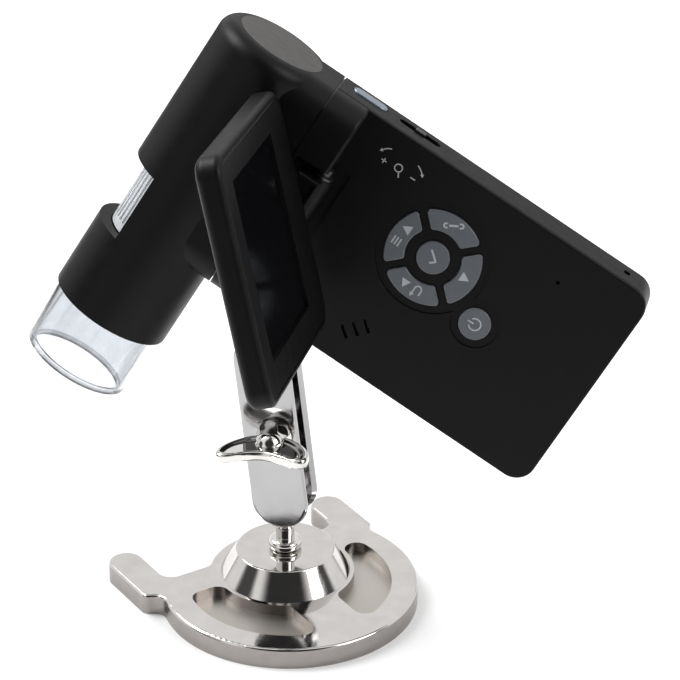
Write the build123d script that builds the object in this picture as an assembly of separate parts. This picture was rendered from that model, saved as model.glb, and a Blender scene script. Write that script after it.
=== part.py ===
"""Portable microscope with a flip-out display, on a ball-jointed metal stand.

Row frame: +Z up, origin where the stand's ball stud axis meets the table, -Y towards the user.
The head is modelled upright in its own frame (X along the handset away from the barrel, -Y out of
the control face, Z along the barrel) and is then set on the stand's upper ball.
The display is modelled closed (X away from its hinge, -Y out of its back), then opened and turned.
"""
from build123d import *
import math
import os

os.makedirs("parts", exist_ok=True)

# ---------------------------------------------------------------- clearances
RUN = 0.05  # radial running fit of shafts, pins and balls
PLAY = 0.3  # gap between pieces that move past each other
KEY_GAP = 0.25  # gap round a key in its hole
SEAM = 0.4  # parting gap between the barrel unit and the handset

# ---------------------------------------------------------------- stand: base
BASE_YAW = 32.2  # turn of the base under the instrument
PLATE_T = 6.2
DISC_R = 37.0
DISC_Y = -6.0  # the disc's centre lies in front of the stud
PLATE_X = -2.2  # the plate's middle lies a little to one side of the stud
BACK_Y = 13.7  # back edge between boss and horns
LOBE_R = 22.1  # rounded back edge round the boss
HORN_W = 10.2
LEFT_HORN = -39.9, 33.6  # outer side and tip, from the plate's middle and from the stud
RIGHT_HORN = 37.3, 29.8
HORN_ROOT_Y = 8.5
PLATE_CONCAVE_R = 4.0
PLATE_CONVEX_R = 2.2
PLATE_EDGE_R = 0.9
POCKET_IN_R = 20.0
POCKET_RIM = 7.5
POCKET_DEPTH = 3.4
POCKET_BACK_Y = 2.6
POCKET_CORNER_R = 3.5
WEB_W = 14.2
BOSS_R = 18.8
BOSS_TOP_R = 14.1
BOSS_H = 7.6
BOSS_EDGE_R = 0.7

# ---------------------------------------------------------------- stand: ball studs and arm
COLLAR_R = 4.8
COLLAR_H = 3.2
NECK_R = 2.7
WAIST_R = 1.9  # neck between the arm's plates
WAIST_L = 9.4  # ball centre to the end of the waist
WAIST_TAPER = 1.2
BALL_R = 5.0
BALL_Z = 31.6  # lower ball's centre above the table
TENON_R = 2.6
TENON_L = 4.0
SCREW_R = 1.5
SCREW_HEAD_R = 3.6
SCREW_HEAD_T = 2.0
SCREW_L = 12.0
ARM_L = 45.1  # ball to ball
ARM_W = 16.6
ARM_T = 2.4  # one side plate
ARM_GAP = 7.2
ARM_EDGE_R = 1.1
ARM_INNER_CHAMFER = 1.2
ARM_LEAN = -6.4
ARM_YAW = -15.4
CLAMP_X = 1.6  # clamp screw beside the arm's middle line
CLAMP_R = 2.0
CLAMP_HEAD_R = 4.4
CLAMP_HEAD_T = 2.2
WASHER_R = 4.6
WASHER_T = 0.8
HUB_R = 5.2  # wing nut's hub at its foot
HUB_TOP_R = 3.9
HUB_H = 8.6
NUT_TURN = 3.0
WING_SPAN = 27.0
WING_RISE = 15.6  # wing tips above the nut's foot
WING_ROOT = 1.6  # wings' lower edge above the foot
WING_T = 3.0  # rim of a wing
WING_WEB = 1.3  # thin middle of a wing
WING_RIM_W = 1.1
WING_CONCAVE_R = 4.0
WING_CONVEX_R = 1.9

# ---------------------------------------------------------------- head on the stand
HEAD_YAW = -16.7
HEAD_TILT = 29.9
HEAD_LEAN = -12.3
SOCKET_X = 43.8  # tripod socket along the handset
BALL_DROP = 12.5  # upper ball's centre below the handset
LOCK_NUT_R = 6.0
LOCK_NUT_T = 3.0
THREAD_R = 3.1
THREAD_L = 6.0
INSERT_R = 4.6
INSERT_L = 7.5

# ---------------------------------------------------------------- barrel
BARREL_R = 17.5
BARREL_TOP_R = 4.5  # rounded shoulder
TOP_Z = 111.5
SLEEVE_Z = 19.5  # lower end of the black sleeve
BORE_R = 13.9
BORE_TOP_Z = 68.0
CHAMBER_R = 12.4
CHAMBER_TOP_Z = 104.0
WINDOW_X = -8.7  # flat cut that bares the focus drum
WINDOW_Z0 = 42.8
WINDOW_Z1 = 63.6
TIP_TOP_R = 17.0
TIP_R = 15.7
TIP_WALL = 1.6
TIP_LIP = 0.9
TIP_LIP_H = 1.4
TIP_COLLAR_R = 15.5
TIP_COLLAR_L = 6.0
DRUM_WALL = 2.2
DRUM_RIB_N = 44
DRUM_RIB_D = 0.5
DRUM_FLANGE_H = 2.4
CARRIAGE_WALL = 1.6
CARRIAGE_Z0 = 33.0
CARRIAGE_L = 24.0
LENS_T = 2.6
RING_BOARD_T = 1.2
RING_HOLE_R = 7.0
LED_N = 8
LED_R = 1.5
LED_H = 1.6
BOARD_T = 1.6
SENSOR_Z = 74.0
SENSOR_W = 9.0
SENSOR_T = 1.4

# ---------------------------------------------------------------- handset
SLAB_END = 123.5
SLAB_Z0 = 45.3
SLAB_BACK = 9.4  # Y of the back face
SLAB_FRONT = -5.8  # Y of the control face
SLAB_CORNER_R = 6.0
SLAB_EDGE_R = 1.6
PARTING_Y = -4.6
PARTING_GROOVE = 0.35
FACE_EDGE_R = 0.6
WALL = 1.8
SEAM_X = 19.4
HUMP_Y = -15.5  # top of the hump
HUMP_END = 32.0
HUMP_SLOPE = 2.0
HUMP_ROUND = 9.4
HUMP_EDGE_R = 1.2
TENON_PAD = 2.4

# keys, seen from the front
PAD_X = 67.0
PAD_Z = 86.5
PAD_DISH_R = 16.2
DISH_D = 0.4
ARC_IN_R = 8.0
ARC_OUT_R = 13.8
ARC_WEB = 2.4  # gap between neighbouring arc keys
ARC_CORNER_R = 1.0
OK_R = 4.7
POWER_X = 86.8
POWER_Z = 77.3
POWER_R = 4.6
POWER_DISH_R = 7.0
KEY_PROUD = 0.35
KEY_FLANGE = 0.8
KEY_FLANGE_T = 0.8
MEMBRANE_T = 0.5
KEY_TRAVEL = 0.5

MIC_INSET = 24.4  # microphone hole from the far end
MIC_Z = 100.6
MIC_R = 0.6
SPEAKER_X = 60.4
SPEAKER_Z = 56.6
SPEAKER_R = 7.0
SPEAKER_T = 3.0
SLOT_L = 4.2
SLOT_W = 0.9
SLOT_PITCH = 3.3
SHUTTER_X = 28.6
SHUTTER_Y = 3.0
SHUTTER_L = 10.9
SHUTTER_W = 4.3
SHUTTER_PROUD = 0.5
ZOOM_X = 45.0
ZOOM_Y = 3.0
ZOOM_SLOT_L = 13.4
ZOOM_SLOT_W = 3.4
ZOOM_SLOT_D = 1.0
ZOOM_LEVER_L = 3.2
ZOOM_LEVER_H = 1.6
ZOOM_TRAVEL = 3.0
LANYARD_CORNER = 5.4  # pin's distance in from both edges
LANYARD_W = 2.6
LANYARD_BOSS = 11.0
LANYARD_PIN_R = 0.8
LANYARD_PIN_L = 5.6
CASE_SCREW_R = 2.4
CASE_SCREW_INSET = 7.5
BATTERY_L = 40.0
BATTERY_H = 34.0
BATTERY_T = 5.0
BATTERY_GAP = 5.0  # socket to cell
MAIN_BOARD_T = 1.2
BOARD_X0 = 32.0
BOARD_Z0 = 56.0
BOARD_Z1 = 99.0

# ---------------------------------------------------------------- display
HINGE_X = 29.2
HINGE_Y = -9.4
HINGE_RISE = 1.8  # hinge's middle above the handset's
OPEN = 89.6
SWIVEL = 44.6
AXIS_OFFSET = 2.4  # swivel axis behind the hinge axis, towards the display's back
RECESS_X = 20.8  # recess in the hump for the hinge
RECESS_END = 35.9
RECESS_W = 24.6  # along the hinge axis
RECESS_DEEP = 0.6  # below the control face
KNUCKLE_W = 18.4
KNUCKLE_R = 3.7
KNUCKLE_REACH = 7.7
KNUCKLE_T = 6.8  # nose that holds the shaft
KNUCKLE_RIM = 1.0
KNUCKLE_POCKET = 1.0
PIN_R = 1.25
PIN_L = 4.0  # in the shell, past the recess
PIN_GRIP = 3.0  # in the knuckle
PIN_COLLAR_R = 3.4
PIN_COLLAR_T = 0.8
PIN_SHOULDER_R = 2.4
SHAFT_R = 1.8
SHAFT_GRIP = 2.0  # past the hinge axis
SHAFT_FLANGE_R = 2.3
SHAFT_FLANGE_T = 0.8
SHAFT_BOSS_L = 5.0
SHAFT_BOSS_W = 10.0
PANEL_D0 = 8.2  # hinge axis to the near edge of the panel
PANEL_L = 79.6
PANEL_W = 67.6
PANEL_T = 7.2
PANEL_NEAR_R = 8.0  # corners by the hinge
PANEL_FAR_R = 5.5
PANEL_EDGE_R = 2.5
RIM_W = 2.1  # back shell's rim round the bezel
RIM_EDGE_R = 1.7
BEZEL_T = 2.2
PANEL_WALL = 1.6
BEZEL_NEAR = 19.8  # panel's near edge to the glass
BEZEL_FAR = 9.9
BEZEL_TOP = 8.7
BEZEL_BOTTOM = 10.3
GLASS_RECESS = 0.9
GLASS_T = 0.8
GLASS_LAND = 1.5
MODULE_T = 2.2

# ---------------------------------------------------------------- places
SLAB_Z = (SLAB_Z0 + TOP_Z) / 2
SLAB_Y = (SLAB_BACK + SLAB_FRONT) / 2
HINGE_Z = SLAB_Z + HINGE_RISE
BOSS_Z = PLATE_T + BOSS_H
DRUM_R = BORE_R - PLAY
DRUM_IN_R = DRUM_R - DRUM_RIB_D - DRUM_WALL
CARRIAGE_R = DRUM_IN_R - PLAY
LENS_R = CARRIAGE_R - CARRIAGE_WALL
LIP_Y = SLAB_FRONT + WALL + 1.0
LANYARD_Y = (PARTING_Y + SLAB_BACK) / 2
KEY_BACK = SLAB_FRONT + WALL + PLAY / 2 + KEY_FLANGE_T
MEMBRANE_Y = KEY_BACK + KEY_TRAVEL + RUN
MIC_X = SLAB_END - MIC_INSET
GLASS_D0 = PANEL_D0 + BEZEL_NEAR
GLASS_L = PANEL_L - BEZEL_NEAR - BEZEL_FAR
GLASS_W = PANEL_W - BEZEL_TOP - BEZEL_BOTTOM
GLASS_SHIFT = (BEZEL_BOTTOM - BEZEL_TOP) / 2

LOWER_BALL = Pos(0, 0, BALL_Z)
ARM = LOWER_BALL * Rot(0, 0, ARM_YAW) * Rot(0, ARM_LEAN, 0)
UPPER_BALL_AT = (ARM * Pos(0, 0, ARM_L)).position
STUD = Pos(*UPPER_BALL_AT) * Rot(0, 0, HEAD_YAW) * Rot(0, HEAD_TILT, 0) * Rot(HEAD_LEAN, 0, 0)
HEAD = STUD * Pos(-SOCKET_X, -SLAB_Y, BALL_DROP - SLAB_Z0)
HINGE = HEAD * Pos(HINGE_X, HINGE_Y, HINGE_Z) * Rot(0, 0, -OPEN)
PANEL = HINGE * Pos(0, -AXIS_OFFSET, 0) * Rot(SWIVEL, 0, 0)
BASE = Rot(0, 0, BASE_YAW)


# ---------------------------------------------------------------- helpers
def save(name, place, *solids):
    """Write the pieces of one node, moved from their own frame to the row frame."""
    placed = [place * s for s in solids]
    export_step(placed[0] if len(placed) == 1 else Compound(children=placed), f"parts/{name}.step")


def turned(*corners):
    """Solid of revolution about Z, from (radius, height) corners."""
    return revolve(make_face(Polyline(*[(r, 0, z) for r, z in corners], close=True)), Axis.Z)


def block(x0, x1, y0, y1, z0, z1):
    """Box between two corners."""
    return Pos((x0 + x1) / 2, (y0 + y1) / 2, (z0 + z1) / 2) * Box(x1 - x0, y1 - y0, z1 - z0)


def rod(radius, y0, y1, x=0.0, z=0.0):
    """Round bar along Y."""
    return Pos(x, (y0 + y1) / 2, z) * Rot(90, 0, 0) * Cylinder(radius, abs(y1 - y0))


def rounded(region, concave, convex):
    """Round a plane region's inner corners, then its outer ones."""
    if concave > 0:
        region = offset(offset(region, concave), -concave)
    return offset(offset(region, -convex), convex)


# ---------------------------------------------------------------- stand
def base_plate():
    """Cast disc with two horns, two pockets and a conical boss."""
    high = Align.CENTER, Align.MAX
    low = Align.CENTER, Align.MIN
    disc = Pos(PLATE_X, DISC_Y) * Circle(DISC_R)
    outline = disc & (Pos(PLATE_X, BACK_Y) * Rectangle(4 * DISC_R, 4 * DISC_R, align=high))
    outline += Circle(LOBE_R)
    for out, end in (LEFT_HORN, RIGHT_HORN):
        x = PLATE_X + out - math.copysign(HORN_W / 2, out)
        tip_y = end - HORN_W / 2
        outline += Pos(x, HORN_ROOT_Y) * Rectangle(HORN_W, tip_y - HORN_ROOT_Y, align=low)
        outline += Pos(x, tip_y) * Circle(HORN_W / 2)
    plate = extrude(rounded(outline, PLATE_CONCAVE_R, PLATE_CONVEX_R), PLATE_T)
    plate = fillet(plate.edges().group_by(Axis.Z)[-1], PLATE_EDGE_R)

    pocket = Pos(PLATE_X, DISC_Y) * Circle(DISC_R - POCKET_RIM) - Circle(POCKET_IN_R)
    pocket -= Pos(PLATE_X, POCKET_BACK_Y) * Rectangle(4 * DISC_R, 4 * DISC_R, align=low)
    pocket -= Pos(PLATE_X, 0) * Rectangle(WEB_W, 4 * DISC_R)
    for half in pocket.faces():
        hollow = extrude(rounded(Sketch() + half, 0, POCKET_CORNER_R), POCKET_DEPTH + 1)
        plate -= Pos(0, 0, PLATE_T - POCKET_DEPTH) * hollow

    boss = Pos(0, 0, PLATE_T + BOSS_H / 2) * Cone(BOSS_R, BOSS_TOP_R, BOSS_H)
    boss = fillet(boss.edges().group_by(Axis.Z)[-1], BOSS_EDGE_R)
    plate += boss
    plate -= Pos(0, 0, BOSS_Z - (TENON_L + RUN) / 2) * Cylinder(TENON_R + RUN, TENON_L + RUN)
    plate -= Pos(0, 0, BOSS_Z / 2) * Cylinder(SCREW_R + PLAY, BOSS_Z)
    plate -= Pos(0, 0, SCREW_HEAD_T / 2) * Cylinder(SCREW_HEAD_R + PLAY, SCREW_HEAD_T + 2 * PLAY)
    return plate


def stand_screw():
    """Pan-head screw that holds the lower stud down from beneath, with a cross recess."""
    head = Pos(0, 0, SCREW_HEAD_T / 2 + PLAY / 2) * Cylinder(SCREW_HEAD_R, SCREW_HEAD_T - PLAY)
    shank = Pos(0, 0, SCREW_HEAD_T + SCREW_L / 2) * Cylinder(SCREW_R, SCREW_L)
    cross = Box(SCREW_HEAD_R, 0.8, 2.4) + Box(0.8, SCREW_HEAD_R, 2.4)
    return head + shank - Pos(0, 0, PLAY) * cross


def waisted_neck(length):
    """Neck from a ball at the origin along +Z, thinner where it leaves the arm's plates."""
    z1 = WAIST_L + WAIST_TAPER
    return turned((0, 0), (WAIST_R, 0), (WAIST_R, WAIST_L), (NECK_R, z1), (NECK_R, length), (0, length))


def lower_stud():
    """Tenon, collar ring, neck and ball, with a tapped hole for the screw."""
    z0 = BOSS_Z + RUN
    ring = Pos(0, 0, z0 + COLLAR_H / 2) * Cylinder(COLLAR_R, COLLAR_H)
    ring = fillet(ring.edges(), COLLAR_H * 0.42)
    neck = waisted_neck(BALL_Z - z0)
    tenon = Pos(0, 0, z0 - (TENON_L - RUN) / 2) * Cylinder(TENON_R, TENON_L - RUN)
    body = ring + LOWER_BALL * Rot(180, 0, 0) * neck + tenon + LOWER_BALL * Sphere(BALL_R)
    hole_top = SCREW_HEAD_T + SCREW_L + PLAY
    return body - Pos(0, 0, hole_top / 2) * Cylinder(SCREW_R, hole_top)


def arm_plate(side):
    """Side plate of the arm: side -1 in front, +1 behind. Balls sit in round seats at both ends."""
    inner = side * ARM_GAP / 2
    outline = Pos(0, ARM_L / 2) * Rot(0, 0, 90) * SlotCenterToCenter(ARM_L, ARM_W)
    plate = Pos(0, inner, 0) * Rot(90, 0, 0) * extrude(outline, -side * ARM_T)
    outer = plate.edges().group_by(Axis.Y)[-1 if side > 0 else 0]
    plate = fillet(outer, ARM_EDGE_R)
    plate = chamfer(plate.edges().group_by(Axis.Y)[0 if side > 0 else -1], ARM_INNER_CHAMFER)
    for z in (0, ARM_L):
        plate -= Pos(0, 0, z) * Sphere(BALL_R + RUN)
    hole = rod(CLAMP_R + RUN, -ARM_GAP - ARM_T, ARM_GAP + ARM_T, CLAMP_X, ARM_L / 2)
    return plate - hole


def clamp_screw():
    """Domed screw from behind through both plates into the wing nut."""
    back = ARM_GAP / 2 + ARM_T
    head = rod(CLAMP_HEAD_R, back, back + CLAMP_HEAD_T, CLAMP_X, ARM_L / 2)
    head = fillet(head.edges().group_by(Axis.Y)[-1], CLAMP_HEAD_T * 0.6)
    return head + rod(CLAMP_R, -back - WASHER_T - HUB_H * 0.7, back, CLAMP_X, ARM_L / 2)


def clamp_washer():
    front = -ARM_GAP / 2 - ARM_T
    ring = rod(WASHER_R, front - WASHER_T, front, CLAMP_X, ARM_L / 2)
    return ring - rod(CLAMP_R + RUN, front - WASHER_T, front, CLAMP_X, ARM_L / 2)


def wing_outline():
    """Both wings of the nut from the side: they rise and spread from the hub, joined across its end."""
    t = WING_SPAN / 2
    h = WING_RISE
    half = [(0, WING_ROOT), (0.36 * t, WING_ROOT + 0.3), (0.76 * t, 0.36 * h), (t, 0.66 * h), (t, 0.98 * h),
            (0.7 * t, h), (0.34 * t, 0.85 * h), (0, 0.79 * h)]
    other = [(-x, y) for x, y in reversed(half[1:-1])]
    return rounded(make_face(Polyline(*half, *other, close=True)), WING_CONCAVE_R, WING_CONVEX_R)


def wing_nut():
    """Round hub with two wings: thick rims round thinner, scooped middles."""
    outline = wing_outline()
    wings = Pos(0, 0, -WING_T / 2) * extrude(outline, WING_T)
    wings = fillet(wings.edges().group_by(Axis.Z)[-1], WING_T / 4)
    wings = fillet(wings.edges().group_by(Axis.Z)[0], WING_T / 4)
    scoop = extrude(offset(outline, -WING_RIM_W), WING_T)
    scoop -= Box(2 * HUB_R, 3 * WING_RISE, 3 * WING_T)
    for side in (0, 180):
        wings -= Rot(0, side, 0) * Pos(0, 0, WING_WEB / 2) * scoop
    hub_z = HUB_H - WING_ROOT
    hub = turned((0, 0), (HUB_R, 0), (HUB_R, WING_ROOT), (HUB_TOP_R, hub_z), (0, hub_z))
    dome_r = HUB_TOP_R * 1.3
    dome_z = HUB_H - dome_r
    dome = Pos(0, 0, dome_z) * Sphere(dome_r)
    dome &= Pos(0, 0, HUB_H) * Cylinder(HUB_TOP_R, 4 * WING_ROOT)
    hub = Rot(-90, 0, 0) * (hub + dome)
    nut = hub + wings
    nut -= rod(CLAMP_R + RUN, -1.0, HUB_H * 0.7 + PLAY)
    seat = -ARM_GAP / 2 - ARM_T - WASHER_T - RUN
    return Pos(CLAMP_X, seat, ARM_L / 2) * Rot(0, NUT_TURN, 0) * Rot(180, 0, 0) * nut


def upper_stud():
    """Ball, neck and thread up into the handset."""
    thread = Pos(0, 0, BALL_DROP + (THREAD_L - PLAY) / 2) * Cylinder(THREAD_R - RUN, THREAD_L - PLAY)
    return Sphere(BALL_R) + waisted_neck(BALL_DROP) + thread


def lock_nut():
    """Knurled ring on the neck, just under the handset."""
    top = BALL_DROP - PLAY / 2
    ring = Pos(0, 0, top - LOCK_NUT_T / 2) * Cylinder(LOCK_NUT_R, LOCK_NUT_T)
    ring = chamfer(ring.edges(), 0.4)
    for n in range(16):
        ring -= Pos(0, 0, top) * Rot(0, 0, n * 360 / 16) * Pos(LOCK_NUT_R + 0.2, 0, 0) * Box(0.9, 0.9, 9)
    return ring - waisted_neck(BALL_DROP)


# ---------------------------------------------------------------- barrel unit
def hump(x0, x1, slope):
    """Raised rounded block in front of the handset, from x0 to x1, with its foot at the parting."""
    y0 = SLAB_Y
    foot = x1 + slope * (SLAB_FRONT - y0) / (SLAB_FRONT - HUMP_Y)
    profile = make_face(Polyline((x0, y0), (foot, y0), (x1, HUMP_Y), (x0, HUMP_Y), close=True))
    body = Pos(0, 0, SLAB_Z0) * extrude(profile, TOP_Z - SLAB_Z0)
    drop = SLAB_FRONT - HUMP_Y
    r = min(HUMP_ROUND, drop - HUMP_EDGE_R)
    side = Pos(0, 0, 0) * Plane.YZ * (Pos((y0 + HUMP_Y) / 2, SLAB_Z) * RectangleRounded(
        y0 - HUMP_Y + 2 * r, TOP_Z - SLAB_Z0, r))
    side = Pos(x0, r, 0) * extrude(side, foot - x0)
    return body & side


def barrel_housing():
    """Barrel, top and the left half of the hump, bored from below, with the focus window."""
    barrel = Pos(0, 0, (SLEEVE_Z + TOP_Z) / 2) * Cylinder(BARREL_R, TOP_Z - SLEEVE_Z)
    barrel = fillet(barrel.edges().group_by(Axis.Z)[-1], BARREL_TOP_R)
    seam = SEAM_X - SEAM / 2
    bridge = block(0, seam, SLAB_Y, SLAB_BACK, SLAB_Z0, TOP_Z)
    bridge = fillet(bridge.edges().filter_by(Axis.X).group_by(Axis.Y)[-1], SLAB_EDGE_R)
    body = barrel + bridge + hump(0, seam, 0)
    pad = TENON_PAD
    body += block(seam, seam + SEAM + WALL, SLAB_FRONT + pad, SLAB_BACK - pad,
                  SLAB_Z0 + 4 * pad, TOP_Z - 4 * pad)
    body -= Pos(0, 0, (SLEEVE_Z + BORE_TOP_Z) / 2) * Cylinder(BORE_R, BORE_TOP_Z - SLEEVE_Z)
    body -= Pos(0, 0, (BORE_TOP_Z + CHAMBER_TOP_Z) / 2) * Cylinder(CHAMBER_R, CHAMBER_TOP_Z - BORE_TOP_Z)
    body -= Pos(0, 0, SLEEVE_Z + TIP_COLLAR_L / 2) * Cylinder(TIP_COLLAR_R + RUN, TIP_COLLAR_L)
    body -= block(-2 * BARREL_R, WINDOW_X, -BARREL_R, BARREL_R, WINDOW_Z0, WINDOW_Z1)
    return body


def clear_tip():
    """Tapered transparent hood with a collar up in the sleeve and a lip at its mouth."""
    z1 = SLEEVE_Z - 0.1
    r_in = TIP_COLLAR_R - TIP_WALL
    return turned((TIP_R, 0), (TIP_TOP_R, z1), (TIP_COLLAR_R, z1), (TIP_COLLAR_R, z1 + TIP_COLLAR_L),
                  (r_in, z1 + TIP_COLLAR_L), (r_in, z1), (TIP_R - TIP_WALL, TIP_LIP_H),
                  (TIP_R - TIP_WALL - TIP_LIP, TIP_LIP_H), (TIP_R - TIP_WALL - TIP_LIP, 0))


def ring_board():
    """Ring-shaped lamp board inside the tip's collar."""
    z = SLEEVE_Z + TIP_COLLAR_L / 2
    r = TIP_COLLAR_R - TIP_WALL - RUN
    return Pos(0, 0, z) * (Cylinder(r, RING_BOARD_T) - Cylinder(RING_HOLE_R, RING_BOARD_T))


def lamps():
    """Ring of small domed lamps under the board."""
    z = SLEEVE_Z + TIP_COLLAR_L / 2 - RING_BOARD_T / 2
    r = (TIP_COLLAR_R - TIP_WALL + RING_HOLE_R) / 2
    lamp = Pos(0, 0, -LED_H / 2) * Cylinder(LED_R, LED_H)
    lamp = fillet(lamp.edges().group_by(Axis.Z)[0], LED_R * 0.6)
    return [Rot(0, 0, n * 360 / LED_N) * Pos(r, 0, z) * lamp for n in range(LED_N)]


def focus_drum():
    """Ribbed ring turned by the thumb, with a smooth flange below."""
    z0 = WINDOW_Z0 + PLAY
    z1 = WINDOW_Z1 - PLAY
    core = Pos(0, 0, (z0 + z1) / 2) * Cylinder(DRUM_R - DRUM_RIB_D, z1 - z0)
    flange = Pos(0, 0, z0 + DRUM_FLANGE_H / 2) * Cylinder(DRUM_R, DRUM_FLANGE_H)
    rib_h = z1 - z0 - DRUM_FLANGE_H
    rib_w = math.pi * DRUM_R / DRUM_RIB_N
    inside = DRUM_R - DRUM_RIB_D - 0.3
    ring = Pos(0, 0, z1 - rib_h / 2) * (Cylinder(DRUM_R, rib_h) - Cylinder(inside, rib_h))
    teeth = [Rot(0, 0, n * 360 / DRUM_RIB_N) * Pos(DRUM_R, 0, z1 - rib_h / 2) * Box(3, rib_w, rib_h)
             for n in range(DRUM_RIB_N)]
    drum = core + flange + (ring & (Part() + teeth))
    return drum - Pos(0, 0, (z0 + z1) / 2) * Cylinder(DRUM_IN_R, z1 - z0)


def lens_carriage():
    """Tube that carries the lens up and down inside the drum."""
    tube = Pos(0, 0, CARRIAGE_Z0 + CARRIAGE_L / 2) * Cylinder(CARRIAGE_R, CARRIAGE_L)
    seat = CARRIAGE_WALL + LENS_T
    bore = Pos(0, 0, CARRIAGE_Z0 + CARRIAGE_L / 2) * Cylinder(LENS_R - CARRIAGE_WALL, CARRIAGE_L)
    step = Pos(0, 0, CARRIAGE_Z0 + seat / 2) * Cylinder(LENS_R, seat)
    upper = Pos(0, 0, CARRIAGE_Z0 + (CARRIAGE_L + seat + CARRIAGE_WALL) / 2) * Cylinder(
        LENS_R, CARRIAGE_L - seat - CARRIAGE_WALL)
    return tube - bore - step - upper


def lens():
    """Front lens: a disc with a curved lower face, seated in the carriage."""
    z1 = CARRIAGE_Z0 + CARRIAGE_WALL + LENS_T
    disc = Pos(0, 0, z1 - LENS_T / 2) * Cylinder(LENS_R, LENS_T)
    ball_r = 3 * LENS_R
    return disc & (Pos(0, 0, z1 - LENS_T + ball_r) * Sphere(ball_r))


def sensor_board():
    return Pos(0, 0, SENSOR_Z) * Cylinder(CHAMBER_R - RUN, BOARD_T)


def image_sensor():
    return Pos(0, 0, SENSOR_Z - BOARD_T / 2 - SENSOR_T / 2) * Box(SENSOR_W, SENSOR_W, SENSOR_T)


# ---------------------------------------------------------------- handset
def slab(x0, y0, y1, inset=0.0):
    """Flat body of the handset between two depths, square at the seam and rounded at the far end."""
    height = TOP_Z - SLAB_Z0 - 2 * inset
    length = SLAB_END - inset - x0
    shape = Pos(x0 + length / 2, SLAB_Z) * Rectangle(length, height)
    ends = shape.vertices().group_by(Axis.X)[-1]
    shape = fillet(ends, SLAB_CORNER_R - inset)
    return Pos(0, y1, 0) * Rot(90, 0, 0) * extrude(shape, y1 - y0)


def hinge_recess():
    """Space in the hump and the face that the knuckle turns in."""
    z0 = HINGE_Z - RECESS_W / 2
    return block(RECESS_X, RECESS_END, HUMP_Y - 1, SLAB_FRONT + RECESS_DEEP, z0, z0 + RECESS_W)


def pin_holes(radius):
    """Holes for the hinge pins either side of the recess."""
    return Pos(HINGE_X, HINGE_Y, HINGE_Z) * Cylinder(radius, RECESS_W + 2 * PIN_L)


def front_view(sketch, y0, y1):
    """Sketch drawn as seen on the control face, made solid between two depths."""
    return Pos(0, y1, 0) * Rot(90, 0, 0) * extrude(sketch, y1 - y0)


def arc_key_outline(angle, grow=0.0):
    """One of the four keys round the middle key, as seen from the front."""
    ring = Circle(ARC_OUT_R) - Circle(ARC_IN_R)
    half = 45.0
    reach = 2 * ARC_OUT_R
    wedge = make_face(Polyline((0, 0), (reach, -reach * math.tan(math.radians(half))),
                               (reach, reach * math.tan(math.radians(half))), close=True))
    piece = ring & (Pos(ARC_WEB / 2 / math.sin(math.radians(half)), 0) * wedge)
    piece = fillet(piece.vertices(), ARC_CORNER_R)
    if grow:
        piece = offset(piece, grow)
    return Pos(PAD_X, PAD_Z) * Rot(0, 0, angle) * piece


def round_key_outline(x, z, radius):
    return Pos(x, z) * Circle(radius)


def speaker_slots():
    """Three slanted sound slots."""
    slots = Sketch()
    for n in (-1, 0, 1):
        slots += Pos(SPEAKER_X + n * SLOT_PITCH * 0.66, SPEAKER_Z + n * SLOT_PITCH * 0.75) * Rot(
            0, 0, -40) * SlotOverall(SLOT_L, SLOT_W)
    return slots


def key_outlines(grow=0.0):
    """Every key's outline, grown by a gap."""
    keys = Sketch()
    for angle in (0, 90, 180, 270):
        keys += arc_key_outline(angle, grow)
    keys += round_key_outline(PAD_X, PAD_Z, OK_R + grow)
    keys += round_key_outline(POWER_X, POWER_Z, POWER_R + grow)
    return keys


def front_shell():
    """Control face with the right half of the hump, key holes, dishes, slots and hinge recess."""
    x0 = SEAM_X + SEAM / 2
    face = slab(x0, SLAB_FRONT, PARTING_Y - PARTING_GROOVE)
    face = fillet(face.edges().group_by(Axis.Y)[0].filter_by(lambda e: e.center().X > x0 + 1), FACE_EDGE_R)
    step = slab(x0, PARTING_Y - PARTING_GROOVE, PARTING_Y, PARTING_GROOVE)
    lip = slab(x0 + WALL, PARTING_Y, LIP_Y, WALL + RUN)
    right = hump(x0, HUMP_END, HUMP_SLOPE)
    right &= block(x0, SLAB_END, HUMP_Y, SLAB_FRONT, SLAB_Z0, TOP_Z)
    right = fillet(right.edges().group_by(Axis.Y)[0].filter_by(Axis.Z).sort_by(Axis.X)[-1], HUMP_EDGE_R)
    lip -= block(SOCKET_X - INSERT_R - WALL - PLAY, SOCKET_X + INSERT_R + WALL + PLAY, PARTING_Y, 0,
                 SLAB_Z0, SLAB_Z0 + INSERT_L + PLAY)
    shell = face + step + lip + right
    inner = slab(x0 + 2 * WALL, SLAB_FRONT + WALL, SLAB_BACK, 2 * WALL)
    shell -= inner
    shell -= hinge_recess()
    shell -= pin_holes(PIN_R + RUN) & block(x0, RECESS_END, HUMP_Y, SLAB_FRONT, SLAB_Z0, TOP_Z)
    dishes = round_key_outline(PAD_X, PAD_Z, PAD_DISH_R) + round_key_outline(POWER_X, POWER_Z, POWER_DISH_R)
    shell -= front_view(dishes, SLAB_FRONT - 1, SLAB_FRONT + DISH_D)
    holes = key_outlines(KEY_GAP) + speaker_slots() + Pos(MIC_X, MIC_Z) * Circle(MIC_R)
    shell -= front_view(holes, SLAB_FRONT - 1, SLAB_FRONT + 2 * WALL)
    return shell


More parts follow.
